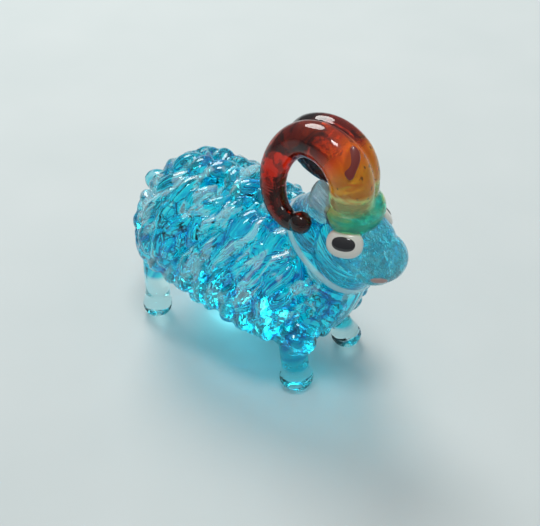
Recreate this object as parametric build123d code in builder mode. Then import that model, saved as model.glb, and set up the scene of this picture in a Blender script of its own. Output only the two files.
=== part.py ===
from build123d import *
import os
from math import asin, cos, radians, sin, sqrt

# A small glass ram, drawn and fused at the lamp, standing on four drops of clear glass.
# Millimetres, +X towards the nose, +Z up, the ground at zero.
# The origin lies on the ground under the middle of the overall length.

# Stance
wheelbase = 20.5
track = 9.2
feet_middle_x = -3.35
left_front_lead = 0.65

# Body core, a barrel along the back with round ends
core_back = 0.45
core_x = feet_middle_x - core_back
core_z = 12.5
core_overhang = 1.75
core_half_length = wheelbase / 2 + core_overhang
core_radius = 6.8
core_rounding = 5.4
core_pitch = 8.0

# Neck and chest, drawn in one sweep from the breast to the skull
neck_ahead = 0.7
neck_drop = 0.6
neck_x = feet_middle_x + wheelbase / 2 + neck_ahead
neck_z = core_z - neck_drop
neck_half_length = 8.3
neck_radius = 3.9
neck_rounding = 2.8
neck_back = 1.3
throat_drop = 3.2
neck_lean = 21.0

# Head
skull_half_length = 4.3
skull_radius = 4.5
skull_rounding = 3.9
skull_ahead = 2.9
skull_rise = 7.9
skull_x = neck_x + skull_ahead
skull_z = neck_z + skull_rise
muzzle_half_length = 3.35
muzzle_radius = 3.25
muzzle_rounding = 2.9
muzzle_ahead = 3.55
muzzle_drop = 1.1
muzzle_x = skull_x + muzzle_ahead
muzzle_z = skull_z - muzzle_drop
mouth_length = 2.2
mouth_height = 0.9
mouth_seat = 3.0
mouth_depth = 0.28
mouth_dip = 50.0
mouth_side = 38.0

# Glass band round the roots of the horns
collar_half_length = 2.85
collar_half_width = 3.5
collar_rim = 0.6
collar_rise = 2.1
collar_height = 3.8
collar_ahead = 0.2
collar_foot = skull_z + collar_rise
collar_top = collar_foot + collar_height
collar_x = skull_x + collar_ahead

# Horns, each a straight shank and then three arcs of a curl
horn_root_ahead = 0.3
horn_root_x = collar_x + horn_root_ahead
horn_shank = 1.6
horn_curl_radii = (4.15, 4.5, 2.9)
horn_curl_turns = (95.0, 125.0, 80.0)
horn_root_radius = 2.3
horn_tip_radius = 0.95
horn_ball_half_length = 1.15
horn_ball_radius = 1.12
horn_ball_rounding = 0.95
horn_root_spread = 1.25
horn_tip_spread = 4.6
horn_spread_start_share = 0.42
horn_taper_start_share = 0.2
horn_sections = 15
horn_tangent_share = 0.1
left_horn_share = 0.95

# Ears, thin clear leaves behind the horns
ear_length = 5.6
ear_width = 2.3
ear_thickness = 0.9
ear_back = 2.75
ear_rise = 4.9
ear_x = skull_x - ear_back
ear_spread = 2.7
ear_z = skull_z + ear_rise
ear_lean = 14.0

# Eyes
eye_length = 3.9
eye_height = 3.2
eye_seat = 3.55
eye_depth = 1.3
eye_rim = 0.3
eye_azimuth = 70.0
eye_elevation = 32.0
eye_roll = 8.0
pupil_length = 2.45
pupil_height = 1.6
pupil_depth = 0.15
pupil_forward = 0.15

# Legs, each turned about its own upright axis
foot_flat_radius = 0.7
foot_radius = 1.65
foot_bulge_z = 1.5
ankle_radius = 1.42
ankle_z = 3.5
thigh_radius = 1.85
thigh_z = 6.8
foot_rise_share = 0.12
thigh_flare_share = 0.2
front_leg_drop = 4.2
rear_leg_drop = 2.7
front_leg_top = core_z - front_leg_drop
rear_leg_top = core_z - rear_leg_drop
front_seat_direction = (0.35, 0.8, -0.5)
rear_seat_direction = (-0.3, 0.78, -0.55)
front_seat_drop = 2.3
rear_seat_drop = 1.5
front_foot_top = 2.9

# Fleece, a blanket of glass on the core with slanting lobes side by side on it
fleece_depth = 0.55
lobe_lift = 0.6
lobe_half_length = 1.95
lobe_radius = 0.88
lobe_rounding = 0.8
lobe_slope = 55.0
lobe_pitch = 1.9
band_angles = {"upper": 62.0, "high": 35.0, "middle": 8.0, "low": -19.0, "belly": -46.0}
band_half_angle = 13.5
# Where each band begins and ends, as shares of the core's half length
band_rear_shares = {"upper": -0.8, "high": -0.8, "middle": -0.8, "low": -0.8, "belly": -0.4167}
band_front_shares = {"upper": 0.52, "high": 0.75, "middle": 0.88, "low": 0.88, "belly": 0.56}
fleece_clearance = 0.03

# Ridge of the fleece, plumper lobes set across the back by turns
ridge_half_angle = 14.5
ridge_lobe_lift = 0.85
ridge_lobe_half_length = 1.9
ridge_lobe_radius = 1.05
ridge_lobe_rounding = 0.95
ridge_lobe_slope = 62.0
ridge_pitch = 2.1
ridge_front_share = 0.5

# Rump of the fleece, rings of lobes on the round rear end: how far back and how many
rump_rings = ((0.88, 12, 0.0), (0.985, 7, 20.0))
rump_lobe_slope = 25.0

# Tail, a round knob on the rear end
tail_half_length = 0.95
tail_radius = 1.05
tail_rounding = 0.8
tail_rise = 1.25

# Where each turned surface closes, in degrees round its own axis
seams = {"core": 60.0, "neck": 150.0, "skull": -65.0, "muzzle": 73.0, "ball": 10.0, "tail": 20.0, "fleece": 67.0, "lobe": 100.0}

os.makedirs("parts", exist_ok=True)

# Directions that several pieces share
ahead = Vector(1, 0, 0)
leftward = Vector(0, 1, 0)


def finish(builder, name):
    builder.part.label = name
    export_step(builder.part, "parts/" + name + ".step")


# The same plane, turned about its own X direction.
def turned(plane, angle):
    spin = Axis((0, 0, 0), plane.x_dir)
    return Plane(origin=plane.origin, x_dir=plane.x_dir, z_dir=plane.z_dir.rotate(spin, angle))


# A drum with well rounded ends, turned about the plane's X direction.
def drum(middle_plane, half_length, radius, rounding, seam):
    plane = turned(middle_plane, seam)
    reach = half_length - rounding
    flat = radius - rounding
    with BuildPart() as shape:
        with BuildSketch(plane):
            with BuildLine():
                Polyline((-half_length, flat), (-half_length, 0), (half_length, 0), (half_length, flat))
                CenterArc((reach, flat), rounding, 0, 90)
                Line((reach, radius), (-reach, radius))
                CenterArc((-reach, flat), rounding, 90, 90)
            make_face()
        revolve(axis=Axis(plane.origin, plane.x_dir))
    return shape.part


# A round lump of glass that lies crosswise, a drum whose ends are almost all rounding.
def lump(centre, along, half_length, radius, rounding, seam):
    middle_plane = Plane(origin=centre, x_dir=along, z_dir=ahead)
    return drum(middle_plane, half_length, radius, rounding, seam)


core_pitch_cos = cos(radians(core_pitch))
core_pitch_sin = sin(radians(core_pitch))
core_plane = Plane(
    origin=(core_x, 0, core_z),
    x_dir=(core_pitch_cos, 0, -core_pitch_sin),
    z_dir=(0, -1, 0),
)

# Where the neck and the legs are fused on, both sides are flat and meet face to face.
neck_plane = Plane(
    origin=(neck_x, 0, neck_z),
    x_dir=(sin(radians(neck_lean)), 0, cos(radians(neck_lean))),
    z_dir=(0, -1, 0),
)
neck_seat = Plane(origin=neck_plane.origin + neck_plane.y_dir * neck_back, z_dir=-neck_plane.y_dir)
rear_x = feet_middle_x - wheelbase / 2
front_x = feet_middle_x + wheelbase / 2
leg_places = {
    "rear_right": (rear_x, -1),
    "rear_left": (rear_x, 1),
    "front_right": (front_x, -1),
    "front_left": (front_x + left_front_lead, 1),
}
leg_seats = {}
for name, (x, side) in leg_places.items():
    lean, height = front_seat_direction, front_leg_top - front_seat_drop
    if name.startswith("rear"):
        lean, height = rear_seat_direction, rear_leg_top - rear_seat_drop
    inner = (x, side * (track / 2 - thigh_radius), height)
    leg_seats[name] = Plane(origin=inner, z_dir=(lean[0], side * lean[1], lean[2]))

# The body core carries the fleece, the neck and the legs.
with BuildPart() as body_core:
    add(drum(core_plane, core_half_length, core_radius, core_rounding, seams["core"]))
    for seat in (neck_seat, *leg_seats.values()):
        split(bisect_by=seat, keep=Keep.BOTTOM)
finish(body_core, "body_core")


# A place on the core: how far along its axis, and how high round it on the right side.
def core_place(along, angle):
    reach = core_half_length - core_rounding
    past = max(0, abs(along) - reach)
    radius = core_radius - core_rounding + sqrt(core_rounding**2 - past**2)
    tilt = asin(past / core_rounding) * (1 if along > 0 else -1)
    axis = core_plane.x_dir
    up = core_plane.y_dir
    side = core_plane.z_dir
    spoke = side * cos(radians(angle)) + up * sin(radians(angle))
    centre = core_plane.origin + axis * along + spoke * radius
    outward = spoke * cos(tilt) + axis * sin(tilt)
    forward = axis * cos(tilt) - spoke * sin(tilt)
    round_up = up * cos(radians(angle)) - side * sin(radians(angle))
    return centre, outward, forward, round_up


skull_at = Vector(skull_x, 0, skull_z)
muzzle_at = Vector(muzzle_x, 0, muzzle_z)
throat_seat = Plane(origin=skull_at - neck_plane.x_dir * throat_drop, z_dir=-neck_plane.x_dir)
collar_seat = Plane.XY.offset(collar_foot)
reach_out = muzzle_at - skull_at
muzzle_share = (1 + (skull_radius**2 - muzzle_radius**2) / reach_out.length**2) / 2
muzzle_seat = Plane(origin=skull_at + reach_out * muzzle_share, z_dir=reach_out)

# Eyes, oval beads let into the sides of the head, each with a pupil laid on it
eye_out = Vector(
    cos(radians(eye_elevation)) * cos(radians(eye_azimuth)),
    -cos(radians(eye_elevation)) * sin(radians(eye_azimuth)),
    sin(radians(eye_elevation)),
)
eye_along = Vector(sin(radians(eye_azimuth)), cos(radians(eye_azimuth)), 0)
eye_rolled = eye_along.rotate(Axis((0, 0, 0), eye_out), eye_roll)
eye_plane = Plane(origin=skull_at + eye_out * eye_seat, x_dir=eye_rolled, z_dir=eye_out)

with BuildPart() as eye_right:
    with BuildSketch(eye_plane):
        Ellipse(eye_length / 2, eye_height / 2)
    extrude(amount=eye_depth)
    rim = eye_right.faces().sort_by(Axis(eye_plane.origin, eye_plane.z_dir))[-1]
    fillet(rim.edges(), eye_rim)
finish(eye_right, "eye_right")

with BuildPart() as pupil_right:
    with BuildSketch(eye_plane.offset(eye_depth)):
        with Locations((pupil_forward, 0)):
            Ellipse(pupil_length / 2, pupil_height / 2)
    extrude(amount=pupil_depth)
finish(pupil_right, "pupil_right")

with BuildPart() as eye_left:
    mirror(eye_right.part, about=Plane.XZ)
finish(eye_left, "eye_left")

with BuildPart() as pupil_left:
    mirror(pupil_right.part, about=Plane.XZ)
finish(pupil_left, "pupil_left")

with BuildPart() as head:
    add(lump(skull_at, leftward, skull_half_length, skull_radius, skull_rounding, seams["skull"]))
    for seat in (throat_seat, collar_seat, muzzle_seat):
        split(bisect_by=seat, keep=Keep.BOTTOM)
    add(eye_right.part, mode=Mode.SUBTRACT)
    add(eye_left.part, mode=Mode.SUBTRACT)
finish(head, "head")

# Neck and chest
with BuildPart() as neck:
    add(drum(neck_plane, neck_half_length, neck_radius, neck_rounding, seams["neck"]))
    split(bisect_by=neck_seat, keep=Keep.TOP)
    split(bisect_by=throat_seat, keep=Keep.TOP)
    for name in ("front_right", "front_left"):
        split(bisect_by=leg_seats[name], keep=Keep.BOTTOM)
finish(neck, "neck")

# Muzzle, with the mouth on a small flat under it
mouth_out = Vector(
    cos(radians(mouth_dip)) * cos(radians(mouth_side)),
    -cos(radians(mouth_dip)) * sin(radians(mouth_side)),
    -sin(radians(mouth_dip)),
)
mouth_along = Vector(sin(radians(mouth_side)), cos(radians(mouth_side)), 0)
mouth_plane = Plane(origin=muzzle_at + mouth_out * mouth_seat, x_dir=mouth_along, z_dir=mouth_out)
with BuildPart() as mouth:
    with BuildSketch(mouth_plane):
        Ellipse(mouth_length / 2, mouth_height / 2)
    extrude(amount=mouth_depth)
finish(mouth, "mouth")

with BuildPart() as muzzle:
    add(lump(muzzle_at, leftward, muzzle_half_length, muzzle_radius, muzzle_rounding, seams["muzzle"]))
    split(bisect_by=muzzle_seat, keep=Keep.TOP)
    split(bisect_by=throat_seat, keep=Keep.BOTTOM)
    split(bisect_by=mouth_plane, keep=Keep.BOTTOM)
finish(muzzle, "muzzle")

# The coloured band is a squat swelling on the crown, and both horns stand on it.
with BuildPart() as horn_collar:
    with BuildSketch(collar_seat):
        with Locations((collar_x, 0)):
            Ellipse(collar_half_length, collar_half_width)
    extrude(amount=collar_top - collar_foot)
    fillet(horn_collar.edges().group_by(Axis.Z)[-1], collar_rim)
    add(eye_right.part, mode=Mode.SUBTRACT)
    add(eye_left.part, mode=Mode.SUBTRACT)
finish(horn_collar, "horn_collar")


# The middle line of a horn: a point and the share of the length reached there.
def horn_line(curl_share):
    arcs = []
    for radius, turn in zip(horn_curl_radii, horn_curl_turns):
        arcs.append((radius * curl_share, radians(turn)))
    total = horn_shank + sum(radius * turn for radius, turn in arcs)

    def place(share):
        rise = min(share * total, horn_shank)
        x, z = horn_root_x, collar_top + rise
        left = share * total - rise
        heading = radians(90)
        for radius, turn in arcs:
            reached = heading + min(left / radius, turn)
            x += radius * (sin(reached) - sin(heading))
            z -= radius * (cos(reached) - cos(heading))
            left -= radius * (reached - heading)
            heading = reached
        ease = max(0, (share - horn_spread_start_share) / (1 - horn_spread_start_share))
        swing = ease * ease * (3 - 2 * ease)
        y = horn_root_spread + (horn_tip_spread - horn_root_spread) * swing
        return Vector(x, -y, z)

    return place


def horn_radius(share):
    ease = max(0, (share - horn_taper_start_share) / (1 - horn_taper_start_share))
    return horn_root_radius + (horn_tip_radius - horn_root_radius) * ease


# A horn on the right side, flat where it is fused to its twin at the middle.
def make_horn(curl_share):
    place = horn_line(curl_share)
    step = 1 / (horn_sections - 1)
    reach = step * horn_tangent_share
    with BuildPart() as shape:
        for count in range(horn_sections):
            share = count * step
            after = place(min(1, share + reach))
            before = place(max(0, share - reach))
            with BuildSketch(Plane(origin=place(share), z_dir=after - before)):
                Circle(horn_radius(share))
        loft()
        ball = (horn_ball_half_length, horn_ball_radius, horn_ball_rounding)
        add(lump(place(1), leftward, *ball, seams["ball"]))
        split(bisect_by=Plane.XZ, keep=Keep.TOP)
    return shape.part


with BuildPart() as horn_right:
    add(make_horn(1))
finish(horn_right, "horn_right")

with BuildPart() as horn_left:
    mirror(make_horn(left_horn_share), about=Plane.XZ)
finish(horn_left, "horn_left")

# An ear is a leaf between two arcs, standing behind the horn root.
ear_plane = Plane(
    origin=(ear_x, -ear_spread, ear_z),
    x_dir=(-sin(radians(ear_lean)), 0, cos(radians(ear_lean))),
    z_dir=(0, -1, 0),
)
with BuildPart() as ear_right:
    with BuildSketch(ear_plane):
        with BuildLine():
            tip = (ear_length / 2, 0)
            root = (-ear_length / 2, 0)
            ThreePointArc(root, (0, ear_width / 2), tip)
            ThreePointArc(tip, (0, -ear_width / 2), root)
        make_face()
    extrude(amount=ear_thickness / 2, both=True)
    split(bisect_by=collar_seat, keep=Keep.TOP)
    add(horn_collar.part, mode=Mode.SUBTRACT)
finish(ear_right, "ear_right")

with BuildPart() as ear_left:
    mirror(ear_right.part, about=Plane.XZ)
finish(ear_left, "ear_left")


# A leg from its flat up: a drop for a foot, an ankle, and a thigh that widens to the body.
def make_leg(name, leg_top):
    x, side = leg_places[name]
    y = side * track / 2
    with BuildPart() as shape:
        with BuildSketch(Plane(origin=(x, y, 0), x_dir=(0, side, 0), z_dir=(side, 0, 0))):
            with BuildLine():
                Line((0, 0), (foot_flat_radius, 0))
                Spline(
                    (foot_flat_radius, 0),
                    (foot_radius, foot_bulge_z),
                    (ankle_radius, ankle_z),
                    (thigh_radius, thigh_z),
                    tangents=((1, foot_rise_share), (thigh_flare_share, 1)),
                )
                Polyline((thigh_radius, thigh_z), (thigh_radius, leg_top), (0, leg_top), (0, 0))
            make_face()
        revolve(axis=Axis((x, y, 0), (0, 0, 1)))
        split(bisect_by=leg_seats[name], keep=Keep.TOP)
    return shape.part


for name in ("rear_right", "rear_left"):
    with BuildPart() as rear_leg:
        add(make_leg(name, rear_leg_top))
    finish(rear_leg, name.replace("rear", "rear_leg"))

# The front legs are blue glass with a clear drop for a foot.
foot_cut = Plane.XY.offset(front_foot_top)
for name in ("front_right", "front_left"):
    with BuildPart() as front_leg:
        add(make_leg(name, front_leg_top))
        split(bisect_by=foot_cut, keep=Keep.TOP)
    finish(front_leg, name.replace("front", "front_leg"))
    with BuildPart() as front_foot:
        add(make_leg(name, front_leg_top))
        split(bisect_by=foot_cut, keep=Keep.BOTTOM)
    finish(front_foot, name.replace("front", "front_foot"))

# The tail is a knob on the flat rear end of the core.
rear_end = core_plane.origin - core_plane.x_dir * core_half_length
tail_at = rear_end + core_plane.y_dir * tail_rise - core_plane.x_dir * tail_half_length
tail_plane = Plane(origin=tail_at, x_dir=core_plane.x_dir, z_dir=core_plane.z_dir)
with BuildPart() as tail:
    add(drum(tail_plane, tail_half_length, tail_radius, tail_rounding, seams["tail"]))
finish(tail, "tail")


# A plane across the core at one place along it, and one through its axis at one angle round it.
def core_cut(along):
    return Plane(origin=core_plane.origin + core_plane.x_dir * along, z_dir=core_plane.x_dir)


def core_split(angle):
    return Plane(origin=core_plane.origin, z_dir=core_place(0, angle)[3])


# A lobe of the fleece: where it lies on the core, its slope, its lift and its drum's sizes.
def make_lobe(along, angle, slope, lift, sizes):
    centre, outward, forward, round_up = core_place(along, angle)
    slant = forward * cos(radians(slope)) + round_up * sin(radians(slope))
    return drum(Plane(origin=centre + outward * lift, x_dir=slant, z_dir=outward), *sizes, seams["lobe"])


# What the fleece lies on or goes round: the core, the neck, the tail and the tops of the legs.
with BuildPart() as fleece_inside:
    add(drum(core_plane, core_half_length, core_radius, core_rounding, seams["core"]))
    add(neck.part)
    add(tail.part)
    for name, (x, side) in leg_places.items():
        leg_top = rear_leg_top if name.startswith("rear") else front_leg_top
        with BuildSketch(Plane.XY):
            with Locations((x, side * track / 2)):
                Circle(thigh_radius + fleece_clearance)
        extrude(amount=leg_top + fleece_clearance)


# A stretch of the fleece: the blanket with its lobes, cut by planes, less what is inside.
def make_fleece(lobes, cuts):
    half_length = core_half_length + fleece_depth
    with BuildPart() as shape:
        add(drum(core_plane, half_length, core_radius + fleece_depth, core_rounding + fleece_depth, seams["fleece"]))
        for one in lobes:
            add(one)
        for plane, kept in cuts:
            split(bisect_by=plane, keep=kept)
        add(fleece_inside.part, mode=Mode.SUBTRACT)
    return shape.part


lobe_sizes = (lobe_half_length, lobe_radius, lobe_rounding)
for name, angle in band_angles.items():
    rear = core_half_length * band_rear_shares[name]
    front = core_half_length * band_front_shares[name]
    lobes = []
    for index in range(int((front - rear) / lobe_pitch)):
        along = rear + (index + 0.5) * lobe_pitch
        lobes.append(make_lobe(along, angle, lobe_slope, lobe_lift, lobe_sizes))
    cuts = (
        (core_cut(rear), Keep.TOP),
        (core_cut(front), Keep.BOTTOM),
        (core_split(angle - band_half_angle), Keep.TOP),
        (core_split(angle + band_half_angle), Keep.BOTTOM),
    )
    with BuildPart() as band_right:
        add(make_fleece(lobes, cuts))
    finish(band_right, "wool_" + name + "_right")
    with BuildPart() as band_left:
        mirror(band_right.part, about=Plane.XZ)
    finish(band_left, "wool_" + name + "_left")

# The ridge's lobes lie across the back, sloping to one side and to the other by turns.
upright = 90.0
rear = core_half_length * band_rear_shares["upper"]
front = core_half_length * ridge_front_share
ridge_sizes = (ridge_lobe_half_length, ridge_lobe_radius, ridge_lobe_rounding)
ridge_lobes = []
for index in range(int((front - rear) / ridge_pitch)):
    along = rear + (index + 0.5) * ridge_pitch
    slope = -ridge_lobe_slope if index % 2 else ridge_lobe_slope
    ridge_lobes.append(make_lobe(along, upright, slope, ridge_lobe_lift, ridge_sizes))
ridge_cuts = (
    (core_cut(rear), Keep.TOP),
    (core_cut(front), Keep.BOTTOM),
    (core_split(upright - ridge_half_angle), Keep.TOP),
    (core_split(upright + ridge_half_angle), Keep.BOTTOM),
)
with BuildPart() as wool_ridge:
    add(make_fleece(ridge_lobes, ridge_cuts))
finish(wool_ridge, "wool_ridge")

# The rump closes the fleece round the rear end.
rump_lobes = []
for rear_share, count, start in rump_rings:
    for index in range(count):
        angle = start + index * 360 / count
        rump_lobes.append(make_lobe(-core_half_length * rear_share, angle, rump_lobe_slope, lobe_lift, lobe_sizes))
with BuildPart() as wool_rump:
    add(make_fleece(rump_lobes, ((core_cut(rear), Keep.BOTTOM),)))
finish(wool_rump, "wool_rump")
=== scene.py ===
from math import cos, pi, radians, sin

import bpy
import numpy as np
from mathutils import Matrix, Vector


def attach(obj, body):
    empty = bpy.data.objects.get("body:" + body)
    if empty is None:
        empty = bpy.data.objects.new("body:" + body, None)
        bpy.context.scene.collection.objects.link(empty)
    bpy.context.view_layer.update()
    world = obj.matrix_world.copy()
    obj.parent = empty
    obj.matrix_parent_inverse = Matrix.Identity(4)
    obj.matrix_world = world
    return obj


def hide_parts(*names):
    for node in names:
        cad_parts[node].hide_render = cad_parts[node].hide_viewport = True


# A small glass ram made at the lamp: a core wound with trails of aqua glass, a smooth head,
# two horns of amber and dark red glass, bead eyes and four clear drops for feet.
# Everything is in metres in the part's own frame. Sizes in the settings are millimetres, unless
# they carry * mm, and angles are degrees, unless they stand in radians(). The settings of the
# floor, the lamps and the camera are in metres.

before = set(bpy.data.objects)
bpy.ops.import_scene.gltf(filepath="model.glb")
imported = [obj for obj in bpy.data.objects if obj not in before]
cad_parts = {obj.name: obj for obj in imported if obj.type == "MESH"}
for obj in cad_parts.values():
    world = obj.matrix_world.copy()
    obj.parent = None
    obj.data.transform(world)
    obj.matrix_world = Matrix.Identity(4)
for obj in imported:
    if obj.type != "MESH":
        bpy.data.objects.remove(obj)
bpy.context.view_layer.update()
mm = 0.001
rng = np.random.default_rng(12)
print("stage: frame loaded,", len(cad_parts), "nodes")


def unit(vectors):
    return vectors / np.linalg.norm(vectors, axis=-1, keepdims=True)


# The next random numbers. The order in which they are drawn is part of the fleece's shape.
def varied(low, high, count):
    return rng.uniform(low, high, count)


def stray(most, count):
    return varied(-most, most, count)


# Puts points and faces into a mesh object with smooth shading.
def makePiece(name, points, quads, tris):
    mesh = bpy.data.meshes.new(name)
    points = np.asarray(points, dtype=np.float32).reshape(-1, 3)
    quads = np.asarray(quads, dtype=np.int32).reshape(-1, 4)
    tris = np.asarray(tris, dtype=np.int32).reshape(-1, 3)
    corners = np.concatenate([quads.ravel(), tris.ravel()])
    sizes = np.concatenate([np.full(len(quads), 4), np.full(len(tris), 3)])
    starts = np.concatenate([[0], np.cumsum(sizes)[:-1]]).astype(np.int32)
    mesh.vertices.add(len(points))
    mesh.vertices.foreach_set("co", points.ravel())
    mesh.loops.add(len(corners))
    mesh.loops.foreach_set("vertex_index", corners)
    mesh.polygons.add(len(sizes))
    mesh.polygons.foreach_set("loop_start", starts)
    mesh.update(calc_edges=True)
    mesh.validate()
    return linkPiece(name, mesh)


def linkPiece(name, mesh):
    mesh.polygons.foreach_set("use_smooth", np.ones(len(mesh.polygons), dtype=bool))
    piece = bpy.data.objects.new(name, mesh)
    bpy.context.scene.collection.objects.link(piece)
    return piece


def meshPoints(mesh):
    points = np.empty(len(mesh.vertices) * 3, dtype=np.float32)
    mesh.vertices.foreach_get("co", points)
    return points.reshape(-1, 3)


# One number for each point of a mesh, for the materials to read.
def writeAttribute(mesh, name, values):
    attribute = mesh.attributes.new(name, "FLOAT", "POINT")
    attribute.data.foreach_set("value", values.astype(np.float32))


# Faces of a closed form made of rings: ring after ring of the same count of points,
# with one point at each end. Point order: start pole, all rings in turn, end pole.
def ringFaces(rings, around):
    ring = np.arange(rings - 1)[:, None]
    step = np.arange(around)
    turn = (step + 1) % around
    a = 1 + ring * around + step
    b = 1 + ring * around + turn
    quads = np.stack([a, b, b + around, a + around], axis=-1).reshape(-1, 4)
    last = 1 + (rings - 1) * around
    startCap = np.stack([np.zeros_like(step), 1 + turn, 1 + step], axis=-1)
    endCap = np.stack([np.full_like(step, last + around), last + step, last + turn], axis=-1)
    return quads, np.concatenate([startCap, endCap])


# Many pods at once. A pod is a closed leaf of glass: its middle line is straight plus a sideways
# S and an outward arch, and its section is an ellipse whose size follows sin(pi t) to the power
# blunt. The first and last ring are pulled in, so that the ends close round.
def makePods(centre, along, outward, length, width, thick, arch, sway, rings=13, around=10, blunt=0.6):
    count = len(centre)
    side = unit(np.cross(outward, along))
    t = (np.arange(rings) + 0.5) / rings
    t = 0.5 - 0.5 * np.cos(pi * t)
    angle = 2 * pi * np.arange(around) / around
    shape = np.sin(pi * t) ** blunt
    shape[[0, -1]] *= 0.8

    def middle(t):
        t = t[None, :, None]
        run = along[:, None] * (t - 0.5) * length[:, None, None]
        swing = side[:, None] * np.sin(2 * pi * t) * sway[:, None, None]
        rise = outward[:, None] * (1 - (2 * t - 1) ** 2) * arch[:, None, None]
        return centre[:, None] + run + swing + rise

    line = middle(t)
    w = 0.5 * width[:, None, None, None] * shape[None, :, None, None] * np.cos(angle)[None, None, :, None]
    h = 0.5 * thick[:, None, None, None] * shape[None, :, None, None] * np.sin(angle)[None, None, :, None]
    body = line[:, :, None] + side[:, None, None] * w + outward[:, None, None] * h
    ends = middle(np.array([0.0, 1.0]))
    points = np.concatenate([ends[:, :1], body.reshape(count, -1, 3), ends[:, 1:]], axis=1)
    quads, tris = ringFaces(rings, around)
    shift = (np.arange(count) * points.shape[1])[:, None, None]
    return points.reshape(-1, 3), (quads[None] + shift).reshape(-1, 4), (tris[None] + shift).reshape(-1, 3)


# An egg: a unit sphere's points, scaled by three radii, turned by a pitch about Y and moved.
def makeEgg(centre, radii, pitch=0.0, rings=40, around=48):
    t = pi * (np.arange(rings) + 1) / (rings + 1)
    angle = 2 * pi * np.arange(around) / around
    ball = np.stack(np.broadcast_arrays(
        np.sin(t)[:, None] * np.cos(angle), np.sin(t)[:, None] * np.sin(angle), np.cos(t)[:, None]
    ), axis=-1).reshape(-1, 3)
    ball = np.concatenate([[[0, 0, 1]], ball, [[0, 0, -1]]]) * np.array(radii)
    c, s = cos(pitch), sin(pitch)
    turned = ball @ np.array([[c, 0, -s], [0, 1, 0], [s, 0, c]])
    quads, tris = ringFaces(rings, around)
    return (turned + np.array(centre)) * mm, quads[:, ::-1], tris[:, ::-1]


# A tube along a line of points with a radius at each, its sections turned with the least twist.
# reference is a direction that the sections keep as their first axis where they can.
def makeTube(line, radius, reference, around):
    tangent = unit(np.gradient(line, axis=0))
    first = unit(reference - tangent * np.sum(reference * tangent, axis=-1, keepdims=True))
    second = np.cross(tangent, first)
    angle = 2 * pi * np.arange(around) / around
    ring = first[:, None] * np.cos(angle)[None, :, None] + second[:, None] * np.sin(angle)[None, :, None]
    points = line[:, None] + ring * radius[:, None, None]
    points = np.concatenate([line[:1], points.reshape(-1, 3), line[-1:]])
    quads, tris = ringFaces(len(line), around)
    return points, quads, tris


def joinForms(forms):
    points, quads, tris, start = [], [], [], 0
    for p, q, t in forms:
        points.append(p)
        quads.append(q + start)
        tris.append(t + start)
        start += len(p)
    return np.concatenate(points), np.concatenate(quads), np.concatenate(tris)


# The same form on the other side of the middle plane, its faces turned back outwards.
def mirrored(form):
    points, quads, tris = form
    return points * np.array([1, -1, 1]), quads[:, ::-1], tris[:, ::-1]


# One skin over several forms: remeshed together, then smoothed, so that they melt into each other.
def meltTogether(name, forms, voxel, rounds):
    rough = makePiece(name + "Rough", *joinForms(forms))
    remesh = rough.modifiers.new("melt", "REMESH")
    remesh.mode = "VOXEL"
    remesh.voxel_size = voxel
    relax = rough.modifiers.new("relax", "SMOOTH")
    relax.factor = 0.5
    relax.iterations = rounds
    depsgraph = bpy.context.evaluated_depsgraph_get()
    mesh = bpy.data.meshes.new_from_object(rough.evaluated_get(depsgraph))
    bpy.data.objects.remove(rough)
    mesh.name = name
    return linkPiece(name, mesh)


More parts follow.
